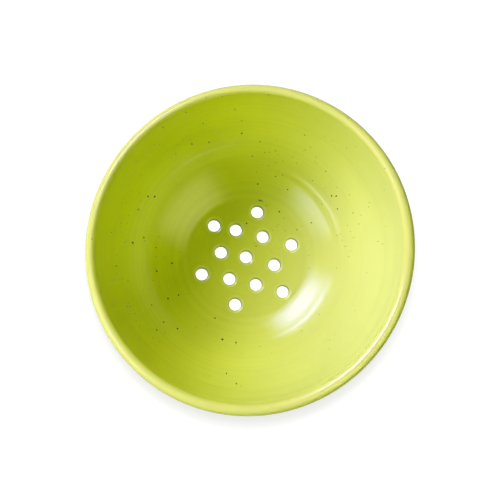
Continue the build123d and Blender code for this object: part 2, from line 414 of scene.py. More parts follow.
def make_object(name, points, polygons, attributes=None):
    """Makes a smooth mesh object of points in millimetres and of polygons, with the hand's errors in it,
    points that fall together made one, its faces turned outwards and its attributes stored on the points."""
    mesh = bpy.data.meshes.new(name)
    faces = [face for group in polygons for face in group.tolist()]
    mesh.from_pydata((as_thrown(points) * MM).tolist(), [], faces)
    mesh.validate()
    for key, values in (attributes or {}).items():
        layer = mesh.attributes.new(key, "FLOAT", "POINT")
        layer.data.foreach_set("value", values.astype(np.float32))
    mesh.polygons.foreach_set("use_smooth", np.ones(len(mesh.polygons), bool))
    whole = bmesh.new()
    whole.from_mesh(mesh)
    bmesh.ops.remove_doubles(whole, verts=whole.verts, dist=WELD)
    bmesh.ops.recalc_face_normals(whole, faces=whole.faces)
    whole.to_mesh(mesh)
    whole.free()
    piece = placed(name, mesh)
    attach(piece, "root")
    return piece


def floor_height(flat):
    """Height of the glazed floor over a point: the inside's own height there, with its ring relief."""
    r, turn = polar(flat)
    along, z = (np.interp(r, INSIDE[:, 0], v) for v in (INSIDE_LENGTH, INSIDE[:, 1]))
    return z + ring_relief(along, turn)


def clay_floor_height(flat):
    """Height of the clay floor under the glaze."""
    return np.interp(polar(flat)[0], *CLAY_INSIDE.T)


def clay_under_height(flat):
    """Height of the clay's underside over a point: level under the floor, then a round corner."""
    past = np.maximum(polar(flat)[0] - UNDER_CENTRE[0], 0)
    return UNDER_CENTRE[1] - np.sqrt((UNDER_RADIUS - GLAZE) ** 2 - past**2)


def level(z):
    """A height function that is the same everywhere."""
    return lambda flat: np.full(flat.shape[:-1], z)


def hole_edge():
    """The rolled upper edge of a hole, as distances out from the bore and drops below the floor: a wide arc
    from the level down to EDGE_SLOPE, a straight run at that slope, and a tight arc to the upright bore."""
    wide = np.linspace(0, EDGE_SLOPE, 9)
    tight = np.linspace(EDGE_SLOPE, QUARTER, 6)
    out_wide = HOLE_ROLL - EDGE_WIDE * np.sin(wide)
    drop_wide = EDGE_WIDE * (1 - np.cos(wide))
    out_tight = EDGE_TIGHT * (1 - np.sin(tight))
    run_drop = EDGE_RUN * np.tan(EDGE_SLOPE)
    drop_tight = drop_wide[-1] + run_drop + EDGE_TIGHT * (np.cos(EDGE_SLOPE) - np.cos(tight))
    return np.concatenate([out_wide, out_tight]), np.concatenate([drop_wide, drop_tight])


def hole_tones(points, coat):
    """Tones round the holes: a deepening, from 0 to 1, in the bores and at their edges, partly glaze that
    pools and partly painted shade; and paler than the coat in a bell-shaped ring over the shoulder of the
    rolled edge, partly where the glaze has drawn back and partly a painted reflection."""
    away = from_holes(points) - HOLE_RADIUS
    ring = np.exp(-(((away - SHOULDER) / SHOULDER_WIDTH) ** 2))
    paleness = 1 - (1 - coat) * (1 - SHOULDER_PALENESS * ring)
    return {"deepening": np.clip(1 - away / POOL_AND_SHADE_WIDTH, 0, 1), "paleness": paleness}


def section_length(points):
    """Length along the inside section at each point, for tones that follow the rings: that of the nearest of
    every fourth of its points."""
    every = 4
    place = np.stack([polar(points)[0], points[:, 2]], 1)
    apart = np.abs(INSIDE[None, ::every] - place[:, None]).sum(2)
    return INSIDE_LENGTH[apart.argmin(1) * every]


def painted_light_side(points):
    """A painted light and shade on the lining: how pale it is drawn by how far a point lies towards the side
    where it is lit most, in rim radii: 0 on the shaded side from a set share of the radius past the axis,
    easing to the set most at the rim on the lit side."""
    reach = points[:, :2] @ around(PAINTED_LIGHT_SIDE) / (RIM_DIAMETER / 2)
    return PAINTED_LIGHT_MOST * smooth((reach + PAINTED_LIGHT_FROM) / (1 + PAINTED_LIGHT_FROM))


def clay_from_disc(step):
    """The clay's inside section from the edge of the floor's disc to the lip."""
    start = [[FLOOR_DISC, np.interp(FLOOR_DISC, *CLAY_INSIDE.T)]]
    section, _ = inside_section(GLAZE, step)
    return np.concatenate([start, section[section[:, 0] > FLOOR_DISC + DISC_CLEAR]])


def glazed_inside():
    """The lining: the pierced floor, rolled hole edges, and the corner and wall as a grid of section length
    by turn, finer over the corner, backed by the clay's face half a millimetre under it."""
    start, fine = np.interp([FLOOR_DISC, FINE_TO_RADIUS], INSIDE[:, 0], INSIDE_LENGTH)
    corner = np.linspace(start, fine, FINE_ROWS)
    along = np.concatenate([corner, np.linspace(fine, INSIDE_LENGTH[-1], WALL_ROWS)[1:]])
    grid = inside_point(along[:, None], TURN)
    front = grid.reshape(-1, 3), grid_faces(len(along), len(TURN))
    disc = pierced_disc(FLOOR_DISC, HOLE_RADIUS + HOLE_ROLL, spacing=0.75, height=floor_height)
    disc[0][: len(TURN)] = grid[0]
    back = turned(clay_from_disc(step=4.0))
    back_disc = pierced_disc(FLOOR_DISC, CLAY_HOLE, spacing=1.6, height=clay_floor_height)
    wall_end = np.concatenate([grid[-1], back[0].reshape(-1, len(TURN), 3)[-1]]), grid_faces(2, len(TURN))
    outs, drops = hole_edge()
    heights = [lambda flat, d=d: floor_height(flat) - d for d in drops]
    heights += [clay_floor_height, clay_floor_height]
    rolls = hole_strips([*(HOLE_RADIUS + outs), HOLE_RADIUS, CLAY_HOLE], heights)
    points, polygons = joined(front, disc, back, back_disc, wall_end, rolls)
    # The lining's paleness is a painted light and shade: paler where it is lit most, deeper where it is
    # shaded
    tones = {**hole_tones(points, painted_light_side(points)), "along": section_length(points)}
    return make_object("glazed_inside", points, polygons, tones)


def glazed_lip():
    """The glaze over the lip, a ring with the section of a round lip and its clay half a millimetre in.
    Paleness grows from the wall's own, with its painted light, up to the crown, where it is 1; on the side
    the lamps light most, the lip is painted deeper in tone, a painted shade."""
    front, _ = lip_section(0)
    back, _ = lip_section(GLAZE, step=0.6)
    points, faces = turned(np.concatenate([front, back[::-1]]), closed=True)
    r, turn = polar(points)
    rise = np.clip((points[:, 2] - LIP_CENTRE[1]) / LIP_RADIUS, 0, 1)
    inner = r < LIP_CENTRE[0]
    join = np.cos(INSIDE_SLOPE)
    rise = np.where(inner, np.clip((rise - join) / (1 - join), 0, 1), rise)
    edge = np.where(inner, painted_light_side(points), COAT)
    tones = {
        "paleness": edge + (1 - edge) * rise,
        # Painted shade: the lip deeper in tone where the lamps light it most
        "deepening": PAINTED_SHADE_LIP_TONE * towards(turn, PAINTED_SHADE_LIP, PAINTED_SHADE_LIP_REACH) * rise,
        "along": np.full(len(points), INSIDE_LENGTH[-1]),
    }
    return make_object("glazed_lip", points, [faces], tones)


def outside_relief(along, turn):
    """Throwing and trimming rings on the outside, a sum of three sine waves that fades at both ends."""
    wave = FULL_TURN * along[..., None] / OUTER_RING_WIDTH + OUTER_RING_SPIRAL * turn[..., None]
    fine = (np.sin(wave) * OUTER_RING_HEIGHT).sum(-1)
    fade_out = np.clip((OUTER_RING_END - along) / OUTER_RING_FADE, 0, 1)
    return fine * np.clip(along / OUTER_RING_FADE, 0, 1) * fade_out


def notch_height(points):
    """Height of the drain notches over the standing plane: an arc across each notch's width, measured
    square to the notch's own direction, and a millimetre under the plane elsewhere."""
    r, turn = polar(points)
    y = r * np.sin(off_turn(turn, 0, FULL_TURN / NOTCH_COUNT))
    arc = np.sqrt(np.maximum(NOTCH_RADIUS**2 - y**2, 0)) - (NOTCH_RADIUS - NOTCH_HEIGHT)
    return np.where(np.abs(y) < NOTCH_WIDTH / 2 + 1, arc, -1.0)


def lifted(points, margin, softness):
    """Lifts points that lie under a notch to its arc: a smooth maximum of their own height and the arc's."""
    arc = notch_height(points) + margin
    z = points[:, 2]
    mixed = np.clip(0.5 + 0.5 * (z - arc) / softness, 0, 1)
    lift = arc + (z - arc) * mixed + softness * mixed * (1 - mixed)
    moved = points.copy()
    low = z < NOTCHED_BELOW
    moved[low, 2] = np.maximum(lift, z)[low]
    return moved


def glazed_outside():
    """The glaze on the outside: a grid of section length by turn with rings in it, backed by the clay, with
    a rounded lower edge that rises over each notch."""
    front, normal = outside_section(0)
    along = lengths(front)
    relief = outside_relief(along[:, None], TURN)
    grid = round_axis(front[:, :1] + normal[:, :1] * relief, TURN, front[:, 1:] + normal[:, 1:] * relief)
    bead = np.array([front[-1, 0], BARE_FOOT]) - BEAD
    back, _ = outside_section(GLAZE, step=1.5)
    rest, _ = turned(np.concatenate([bead, back[::-1]]))
    points = np.concatenate([grid.reshape(-1, 3), rest])
    points = lifted(points, NOTCH_KEPT_OFF, NOTCH_SOFTNESS)
    paleness = 1 - (1 - COAT) * (1 - np.exp(-np.maximum(points[:, 2] - BARE_FOOT, 0) / THIN_AT_FOOT))
    faces = grid_faces(len(points) // len(TURN), len(TURN), closed=True)
    tones = {"paleness": paleness, "along": OUTER_TONES_FROM - points[:, 2]}
    return make_object("glazed_outside", points, [faces], tones)


def glazed_underside():
    """The glaze under the floor: a flat pierced disc with rolled hole edges, a fillet into the foot and the
    foot's inner side, backed by the clay."""
    front, _ = underside_section(0)
    back, _ = underside_section(GLAZE)
    bead = np.array([front[-1, 0], BARE_FOOT]) - BEAD * [-1, 1]
    side, faces = turned(np.concatenate([front, bead, back[::-1]]))
    side = lifted(side, NOTCH_KEPT_OFF, NOTCH_SOFTNESS)
    disc = pierced_disc(UNDER_DISC, HOLE_RADIUS + UNDER_ROLL, spacing=1.2, height=level(FOOT_HEIGHT))
    clay = level(FOOT_HEIGHT + GLAZE)
    back_disc = pierced_disc(UNDER_DISC, CLAY_HOLE, spacing=1.8, height=clay)
    a = np.linspace(0, UNDER_DIP, 6)
    radii = [*(HOLE_RADIUS + UNDER_ROLL * (1 - np.sin(a))), CLAY_HOLE]
    heights = [level(FOOT_HEIGHT + UNDER_ROLL * (1 - c)) for c in np.cos(a)] + [clay]
    rolls = hole_strips(radii, heights)
    points, polygons = joined((side, faces), disc, back_disc, rolls)
    return make_object("glazed_underside", points, polygons, hole_tones(points, COAT))


def glazed_holes():
    """The glaze sleeves: in every hole, a straight bore and the rest of the lower roll, closed by the face of
    the clay hole."""
    low = np.linspace(QUARTER, UNDER_DIP, 5)
    bore = HOLE_RADIUS
    radii = [bore, *(bore + UNDER_ROLL * (1 - np.sin(low)))]
    heights = [clay_floor_height]
    heights += [level(z) for z in FOOT_HEIGHT + UNDER_ROLL * (1 - np.cos(low))]
    radii += [CLAY_HOLE, CLAY_HOLE, bore]
    heights += [level(FOOT_HEIGHT + GLAZE), clay_floor_height, clay_floor_height]
    points, polygons = joined(hole_strips(radii, heights))
    return make_object("glazed_holes", points, polygons, hole_tones(points, COAT))


def clay_wall():
    """The clay between the coats: floor, wall and lip half a millimetre under the glaze, pierced."""
    inside = clay_from_disc(step=2.0)
    lip, _ = lip_section(GLAZE, step=0.6)
    corner = UNDER_CENTRE + (UNDER_RADIUS - GLAZE) * swung(np.linspace(OUTSIDE_SLOPE, 0, 40))
    under = [[UNDER_DISC, np.interp(UNDER_DISC, corner[::-1, 0], corner[::-1, 1])]]
    outside = np.concatenate([corner[corner[:, 0] > UNDER_DISC + DISC_CLEAR], under])
    shell = turned(np.concatenate([inside, lip[1:], outside]))
    upper = pierced_disc(FLOOR_DISC, CLAY_HOLE, spacing=1.8, height=clay_floor_height)
    shell[0][-len(TURN) :, 2] = clay_under_height(shell[0][-len(TURN) :, :2])
    lower = pierced_disc(UNDER_DISC, CLAY_HOLE, spacing=1.8, height=clay_under_height)
    bores = hole_strips([CLAY_HOLE] * 2, [clay_floor_height, clay_under_height])
    points, polygons = joined(shell, upper, lower, bores)
    return make_object("clay_wall", points, polygons)


def clay_foot():
    """The foot ring: its section carried round the axis, with rounded standing edges, and lifted to the arc
    of each notch by a smooth maximum so that the notch's edges are soft."""
    inner, outer, rounding = FOOT_INNER_RADIUS, FOOT_OUTER_RADIUS, FOOT_ROUNDING
    inner_top, outer_top = clay_under_height(np.array([[inner, 0], [outer, 0]]))
    out_side = run([outer, outer_top], [outer, rounding], [1, 0], step=0.25)
    out_edge = bow(np.array([outer - rounding, rounding]), rounding, QUARTER, 0, 1, step=0.2)
    stand = run([outer - rounding, 0], [inner + rounding, 0], [0, -1], step=0.4)
    in_edge = bow(np.array([inner + rounding, rounding]), rounding, 0, -QUARTER, 1, step=0.2)
    in_side = run([inner, rounding], [inner, inner_top], [-1, 0], step=0.25)
    top = run([inner, inner_top], [outer, outer_top], [0, 1], step=1.5)
    loop, _ = chain(out_side, out_edge, stand, in_edge, in_side, top)
    points, faces = turned(loop[:-1], FOOT_TURN, closed=True)
    return make_object("clay_foot", lifted(points, 0.0, NOTCH_SOFTNESS), [faces])


# The boldest iron specks of the lining: turn in degrees, radius, and width along and across the section
BOLD_SPECKS = np.array(
    [
        [265.6, 41.4, 1.10, 1.10], [201.1, 44.2, 0.92, 0.92], [238.1, 48.2, 0.94, 0.94],
        [185.7, 55.5, 1.42, 1.12], [196.5, 36.4, 0.95, 0.95], [105.2, 58.8, 1.31, 0.97],
        [159.5, 53.2, 1.27, 1.00], [88.9, 28.8, 0.57, 2.54], [277.1, 61.3, 2.16, 0.83],
        [67.3, 27.6, 0.80, 0.80], [221.0, 37.8, 0.82, 0.82], [219.9, 43.1, 0.99, 0.99],
        [181.8, 50.8, 1.03, 0.86], [40.9, 35.8, 0.70, 0.70], [254.5, 33.1, 0.77, 0.77],
        [121.2, 57.7, 1.19, 0.69], [26.2, 45.0, 0.49, 0.49], [272.1, 57.1, 1.47, 0.65],
        [231.5, 56.1, 1.39, 0.82], [169.3, 56.9, 1.50, 0.67], [102.6, 16.9, 0.84, 0.84],
        [48.5, 50.4, 0.74, 0.67], [40.5, 49.5, 0.80, 0.69], [94.0, 36.4, 0.80, 0.80],
        [219.2, 51.6, 0.89, 0.59], [59.7, 55.6, 0.78, 0.60], [46.7, 52.0, 1.19, 0.70],
        [82.9, 41.9, 0.67, 0.67], [129.0, 59.8, 1.50, 0.75], [161.4, 55.8, 1.44, 0.94],
        [71.6, 38.7, 0.68, 0.68], [275.0, 41.6, 1.58, 0.56], [186.3, 44.3, 0.66, 0.66],
        [79.1, 43.7, 0.51, 0.51], [230.4, 51.1, 1.04, 0.75], [108.1, 67.3, 2.27, 0.62],
        [183.8, 65.5, 2.30, 0.62], [137.6, 70.0, 2.30, 0.62], [99.5, 49.0, 0.77, 0.62],
        [96.2, 55.6, 0.83, 0.62], [105.2, 63.6, 1.40, 0.58], [121.6, 65.2, 2.30, 0.60],
        [127.3, 70.4, 2.18, 0.60], [197.4, 62.8, 2.25, 0.62], [112.8, 72.2, 2.00, 0.62],
        [95.7, 72.2, 2.30, 0.60], [64.9, 7.4, 0.59, 0.59], [41.9, 28.0, 0.55, 0.55],
    ]
)

# The faint ones lie thickest on the two sides where the bold ones do: how many there are in each eighth of a
# turn from EIGHTHS_FROM degrees on, in bands of the section from the floor to the lip. On the wall they are
# drawn out, and those in the last band hold more iron.
SPECK_SEED = 5
EIGHTHS_FROM = 12
FAINT_WIDTH = (0.38, 0.62)
FAINT_IRON = (0.25, 0.65)
LAST_BAND_IRON = 0.2
DRAWN_OUT_AT = [40, 60, 75]
DRAWN_OUT = [1.0, 1.6, 3.0]
HOLE_CLEAR = HOLE_RADIUS + HOLE_ROLL + 1.0
FAINT_BANDS = np.array([6.0, 26.0, 44.0, 64.0, 98.0])
FAINT_SPECKS = np.array(
    [
        [4, 5, 1, 3, 3, 1, 0, 0],
        [3, 6, 1, 1, 5, 3, 0, 1],
        [19, 18, 4, 6, 6, 3, 4, 5],
        [7, 6, 11, 26, 46, 15, 1, 1],
    ]
)
RAGGED_THREES = 0.18
RAGGED_FIVES = 0.12


def iron_specks():
    """Specks of iron in the lining: closed low lenses on a grid of ring by turn, each laid on the inside with
    a ragged edge, and rising a fiftieth of a millimetre in the middle. The bold ones have places of their
    own, and the faint ones are strewn by a seeded draw, evenly over each band of the section."""
    pick = np.random.default_rng(SPECK_SEED)
    cell = np.repeat(np.arange(FAINT_SPECKS.size), FAINT_SPECKS.ravel())
    band, eighth = np.divmod(cell, 8)
    strewn_turn = 360 / 8 * (eighth + pick.uniform(0, 1, cell.size)) + EIGHTHS_FROM
    strewn_along = FAINT_BANDS[band] + np.diff(FAINT_BANDS)[band] * pick.uniform(0, 1, cell.size)
    strewn_width = pick.uniform(*FAINT_WIDTH, (cell.size, 2))
    strewn_width[:, 0] *= np.interp(strewn_along, DRAWN_OUT_AT, DRAWN_OUT)
    strewn_iron = pick.uniform(*FAINT_IRON, cell.size) + LAST_BAND_IRON * (band == len(FAINT_SPECKS) - 1)
    strewn_flat = np.interp(strewn_along, INSIDE_LENGTH, INSIDE[:, 0])
    clear = from_holes(strewn_flat[:, None] * around(np.radians(strewn_turn))) > HOLE_CLEAR
    bold_along = np.interp(BOLD_SPECKS[:, 1], INSIDE[:, 0], INSIDE_LENGTH)
    middle_turn = np.radians(np.concatenate([BOLD_SPECKS[:, 0], strewn_turn[clear]]))
    middle_along = np.concatenate([bold_along, strewn_along[clear]])
    width = np.concatenate([BOLD_SPECKS[:, 2:], strewn_width[clear]])[:, :, None, None]
    iron = np.concatenate([np.ones(len(BOLD_SPECKS)), strewn_iron[clear]])
    ring = np.array([0.35, 0.7, 0.92, 1.0, 1.0])
    lift = np.array([0.018, 0.010, 0.002, -0.002, -0.06])
    spoke = np.linspace(0, FULL_TURN, 14, endpoint=False)
    phase = pick.uniform(0, FULL_TURN, (2, len(width), 1))
    threes, fives = np.sin(3 * spoke + phase[0]), np.sin(5 * spoke + phase[1])
    ragged = 1 + RAGGED_THREES * threes + RAGGED_FIVES * fives
    reach = ring[:, None] * ragged[:, None] / 2
    along = middle_along[:, None, None] + reach * np.cos(spoke) * width[:, 0]
    flat = np.interp(middle_along, INSIDE_LENGTH, INSIDE[:, 0])
    turn = middle_turn[:, None, None] + reach * np.sin(spoke) * width[:, 1] / flat[:, None, None]
    points = inside_point(along, turn, lift[:, None]).reshape(-1, 3)
    size = len(ring) * len(spoke)
    first = np.arange(len(width))[:, None, None] * size
    sides = (grid_faces(len(ring), len(spoke)) + first).reshape(-1, 4)
    caps = (np.arange(size).reshape(len(ring), -1)[[0, -1]] + first).reshape(-1, len(spoke))
    return make_object("iron_specks", points, [sides, caps], {"iron": np.repeat(iron, size)})


# The lime glaze's own colour; the pale one where the lining is coated thinnest and where painted light makes
# it paler; the one where the glaze breaks over the lip; the deep one where it pools and where painted shade
# makes it deeper; and its fine specks by the cell of their lattice, their radius and their colour
LIME = "#CFD827"
PALE_LIME = "#D9DF90"
LIP_LIME = "#E1E384"
DEEP_LIME = "#AFB940"
TONE_RANGE = (0.95, 1.05)
FINE_SPECKS = ((5.2, 0.36, "#4A3D08"), (3.4, 0.22, "#6E6A0C"))

# The paper: half its side and a distance in metres, whites at shares of that distance from the middle, the
# white that takes its shading, and how much of it shows in reflections. Full white inside the foot is a
# painted light where the bowl shades the paper
PAPER_HALF = 3.0
PAPER_REACH = 0.4
PAPER_WHITES = ((0.07, 1.0), (0.085, 0.80), (0.3, 0.80), (0.75, 1.0))
ADDED_WHITE = 0.23
PAPER_MIRRORED = 0.15

# The camera: nearly straight down the axis, tipped 4 degrees towards the lower left, and moved a little
VIEW_TURN = np.radians(12.3)
VIEW_TIP = np.radians(4.36)
TIP_TOWARDS = np.radians(246.0) + VIEW_TURN
VIEW_DISTANCE = 1.0
VIEW_LEFT = 0.27
VIEW_DOWN = 0.17
SENSOR_WIDTH = 36.0
FOCAL_LENGTH = 156.8

# The light: how far off lamps stand and how high on the axis they are aimed, in metres, and the world's fill
LAMP_DISTANCE = 1.1
LAMP_AIM = 0.04
HIGHLIGHT_AIM = 0.016
FILL_STRENGTH = 0.08


def linear(code):
    """An sRGB hex colour as linear red, green, blue and full alpha."""
    c = np.array([int(code[i : i + 2], 16) for i in (1, 3, 5)]) / 255
    c = np.where(c <= 0.04045, c / 12.92, ((c + 0.055) / 1.055) ** 2.4)
    return (*c.tolist(), 1.0)


def add(tree, kind, inputs=None, **settings):
    """Adds one node: settings go on the node, and each input is a plain value, another node's output, or
    another node for its first output."""
    made = tree.nodes.new(kind)
    for key, value in settings.items():
        setattr(made, key, value)
    for key, value in (inputs or {}).items():
        if isinstance(value, bpy.types.Node):
            value = value.outputs[0]
        if isinstance(value, bpy.types.NodeSocket):
            tree.links.new(value, made.inputs[key])
        else:
            made.inputs[key].default_value = value
    return made


def new_material(name):
    """An empty node material, its tree to fill and the place on the object."""
    material = bpy.data.materials.new(name)
    material.use_nodes = True
    tree = material.node_tree
    tree.nodes.clear()
    return material, tree, add(tree, "ShaderNodeTexCoord").outputs["Object"]


def lime_glaze(name, colour, pale, deep, speckled):
    """Satin lime-green stoneware glaze, dipped and fired: an opaque colour, deeper where it pools and where
    shade is painted in, paler where it runs thinner and where light is painted in, under a smooth skin that
    mirrors the lamps softly. Where speckled, fine specks of iron bleed through it. Each colour is laid over
    those before it by an amount from 0 to 1."""
    material, tree, place = new_material(name)
    paleness, deepening, along = (
        add(tree, "ShaderNodeAttribute", attribute_name=stored).outputs["Fac"]
        for stored in ("paleness", "deepening", "along")
    )
    # Ring tones follow the section, a few millimetres wide; clouds are some 22 mm across
    rings = add(tree, "ShaderNodeTexNoise", {"W": along, "Scale": 0.45, "Detail": 3.0}, noise_dimensions="1D")
    clouds = add(tree, "ShaderNodeTexNoise", {"Vector": place, "Scale": 1 / (22 * MM), "Detail": 2.0})
    tone = add(tree, "ShaderNodeMath", {0: rings, 1: clouds}, operation="ADD")
    tone = add(tree, "ShaderNodeMapRange", {"Value": tone, "From Min": 0.6, "From Max": 1.4})
    deeper, lighter = ((*(share * c for c in linear(colour)[:3]), 1.0) for share in TONE_RANGE)
    # The pale and deep layers carry painted light and painted shade as well as thinner and pooling glaze
    layers = [(tone, lighter), (paleness, linear(pale)), (deepening, linear(deep))]
    # Iron specks: points of a three-dimensional lattice that lie within a speck's radius of the surface
    for cell, radius, shade in FINE_SPECKS if speckled else ():
        edge = radius / cell
        points = add(tree, "ShaderNodeTexVoronoi", {"Vector": place, "Scale": 1 / (cell * MM)})
        near = {"Value": points, "From Min": edge, "From Max": 0.45 * edge}
        mask = add(tree, "ShaderNodeMapRange", near, interpolation_type="SMOOTHSTEP")
        crowd = add(tree, "ShaderNodeTexNoise", {"Vector": place, "Scale": 1 / (16 * MM), "Detail": 1.0})
        crowded = {"Value": crowd, "From Min": 0.42, "From Max": 0.56, "To Max": 0.9}
        crowd = add(tree, "ShaderNodeMapRange", crowded, interpolation_type="SMOOTHSTEP")
        mask = add(tree, "ShaderNodeMath", {0: mask, 1: crowd}, operation="MULTIPLY")
        layers.append((mask, linear(shade)))
    mixed = deeper
    for amount, layer in layers:
        mixed = add(tree, "ShaderNodeMix", {0: amount, 6: mixed, 7: layer}, data_type="RGBA").outputs[2]
    # Fired glaze is faintly dimpled, about 2 mm from dimple to dimple
    dimples = add(tree, "ShaderNodeTexNoise", {"Vector": place, "Scale": 1 / (2 * MM), "Detail": 1.0})
    bump = add(tree, "ShaderNodeBump", {"Strength": 0.05, "Distance": 0.04 * MM, "Height": dimples})
    skin = {"Base Color": mixed, "Roughness": 0.11, "IOR": 1.5, "Normal": bump}
    add(tree, "ShaderNodeOutputMaterial", {"Surface": add(tree, "ShaderNodeBsdfPrincipled", skin)})
    return material


def bare_stoneware():
    """Unglazed fired stoneware, wiped and sanded: buff and matte, with fine grog and darker iron grains."""
    material, tree, place = new_material("bare_fired_stoneware")
    grain = add(tree, "ShaderNodeTexNoise", {"Vector": place, "Scale": 1 / (1.2 * MM), "Detail": 4.0})
    pale = {"Value": grain, "From Min": 0.3, "From Max": 0.7}
    grog = add(tree, "ShaderNodeMapRange", pale, interpolation_type="SMOOTHSTEP")
    flush = add(tree, "ShaderNodeTexNoise", {"Vector": place, "Scale": 1 / (18 * MM), "Detail": 2.0})
    grit = add(tree, "ShaderNodeTexVoronoi", {"Vector": place, "Scale": 1 / (2.1 * MM)})
    grit = add(tree, "ShaderNodeMapRange", {"Value": grit, "From Min": 0.12, "From Max": 0.05, "To Max": 0.8})
    mixed = linear("#B79F7C")
    for amount, shade in ((grog, "#CDB893"), (flush, "#C7A578"), (grit, "#5A4630")):
        layer = {0: amount, 6: mixed, 7: linear(shade)}
        mixed = add(tree, "ShaderNodeMix", layer, data_type="RGBA").outputs[2]
    bump = add(tree, "ShaderNodeBump", {"Strength": 0.5, "Distance": 0.1 * MM, "Height": grain})
    skin = {"Base Color": mixed, "Roughness": 0.85, "IOR": 1.5, "Normal": bump}
    add(tree, "ShaderNodeOutputMaterial", {"Surface": add(tree, "ShaderNodeBsdfPrincipled", skin)})
    return material


def iron_stain(glaze_colour):
    """Iron bled into glaze: a brown bead as glossy as the glaze it lies in, dark where there is much iron and
    nearer the glaze's own green where there is little."""
    material, tree, place = new_material("iron_speck_in_glaze")
    iron = add(tree, "ShaderNodeAttribute", attribute_name="iron").outputs["Fac"]
    spread = add(tree, "ShaderNodeTexNoise", {"Vector": place, "Scale": 1 / (0.5 * MM), "Detail": 1.0})
    browns = {0: spread, 6: linear("#1E1902"), 7: linear("#3A3305")}
    dark = add(tree, "ShaderNodeMix", browns, data_type="RGBA").outputs[2]
    stain = {0: iron, 6: linear(glaze_colour), 7: dark}
    mixed = add(tree, "ShaderNodeMix", stain, data_type="RGBA").outputs[2]
    skin = {"Base Color": mixed, "Roughness": 0.3, "IOR": 1.4}
    add(tree, "ShaderNodeOutputMaterial", {"Surface": add(tree, "ShaderNodeBsdfPrincipled", skin)})
    return material


def white_sweep():
    """The white paper under the bowl: white by itself to the camera inside the foot, a painted light where
    the bowl shades it, and far off; a little less round the foot and for 120 mm about, where its own shading
    makes up the rest and keeps the bowl's shadow; much less in reflections; to other light it is plain pale
    paper."""
    material, tree, place = new_material("white_paper_sweep")
    path = add(tree, "ShaderNodeLightPath").outputs
    seen = path["Is Camera Ray"]
    for ray in ("Is Glossy Ray", "Is Transmission Ray"):
        seen = add(tree, "ShaderNodeMath", {0: seen, 1: path[ray]}, operation="MAXIMUM")
    away = add(tree, "ShaderNodeVectorMath", {0: place}, operation="LENGTH").outputs["Value"]
    away = add(tree, "ShaderNodeMath", {0: away, 1: 1 / PAPER_REACH}, operation="MULTIPLY")
    whites = add(tree, "ShaderNodeValToRGB", {"Fac": away})
    bar = whites.color_ramp
    bar.interpolation = "EASE"
    while len(bar.elements) < len(PAPER_WHITES):
        bar.elements.new(0.5)
    for element, (position, white) in zip(bar.elements, PAPER_WHITES):
        element.position = position
        element.color = (white, white, white, 1.0)
    mirrored_less = {"Value": path["Is Glossy Ray"], "To Min": 1.0, "To Max": PAPER_MIRRORED}
    strength = add(tree, "ShaderNodeMapRange", mirrored_less)
    glow = add(tree, "ShaderNodeEmission", {"Color": whites, "Strength": strength})
    faint = add(tree, "ShaderNodeBsdfDiffuse", {"Color": (*[ADDED_WHITE] * 3, 1.0)})
    lit = add(tree, "ShaderNodeAddShader", {0: glow, 1: faint})
    paper = add(tree, "ShaderNodeBsdfDiffuse", {"Color": linear("#C4C4C4")})
    mix = add(tree, "ShaderNodeMixShader", {0: seen, 1: paper, 2: lit})
    add(tree, "ShaderNodeOutputMaterial", {"Surface": mix})
    return material


inside = glazed_inside()
lip = glazed_lip()
outside = glazed_outside()
underside = glazed_underside()
sleeves = glazed_holes()
wall = clay_wall()
foot = clay_foot()
specks = iron_specks()

lining = lime_glaze("lime_stoneware_glaze", LIME, PALE_LIME, DEEP_LIME, False)
speckled = lime_glaze("speckled_lime_stoneware_glaze", LIME, LIP_LIME, DEEP_LIME, True)
clay = bare_stoneware()
bowl_only = bpy.data.collections.new("bowl_only")
for piece, node, slot, material in (
    (inside, "inside_glaze", "lime_glaze", lining),
    (lip, "rim_glaze", "thin_rim_glaze", speckled),
    (outside, "outside_glaze", "lime_glaze", speckled),
    (underside, "underside_glaze", "lime_glaze", speckled),
    (sleeves, "drain_hole_glaze", "lime_glaze", lining),
    (wall, "stoneware_body", "stoneware", clay),
    (foot, "foot_ring", "stoneware", clay),
):
    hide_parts(node)
    piece.data.materials.append(material)
    bowl_only.objects.link(piece)
specks.data.materials.append(iron_stain(LIME))
bowl_only.objects.link(specks)

# Stage: a sheet of white paper that the foot stands on
sheet = bpy.data.meshes.new("paper_sweep")
corners = [(x * PAPER_HALF, y * PAPER_HALF, 0) for x, y in ((-1, -1), (1, -1), (1, 1), (-1, 1))]
sheet.from_pydata(corners, [], [(0, 1, 2, 3)])
paper = placed("paper_sweep", sheet)
sheet.materials.append(white_sweep())
paper_only = bpy.data.collections.new("paper_only")
paper_only.objects.link(paper)


def direction(turn, rise):
    """The unit vector at a turn round the axis and an angle over the level."""
    return round_axis(np.cos(rise), turn, np.sin(rise))


rim_middle = np.array([0, 0, LIP_CENTRE[1] * MM])
back = direction(TIP_TOWARDS, QUARTER - VIEW_TIP)
up = direction(QUARTER + VIEW_TURN, 0)
up -= up.dot(back) * back
up /= np.linalg.norm(up)
right = np.cross(up, back)
lens = bpy.data.cameras.new("camera")
lens.sensor_width = SENSOR_WIDTH
lens.lens = FOCAL_LENGTH
camera = placed("camera", lens)
where = Matrix(np.column_stack([right, up, back]).tolist()).to_4x4()
where.translation = Vector(rim_middle + VIEW_DISTANCE * back - (VIEW_LEFT * right + VIEW_DOWN * up) * MM)
camera.matrix_world = where
bpy.context.scene.camera = camera


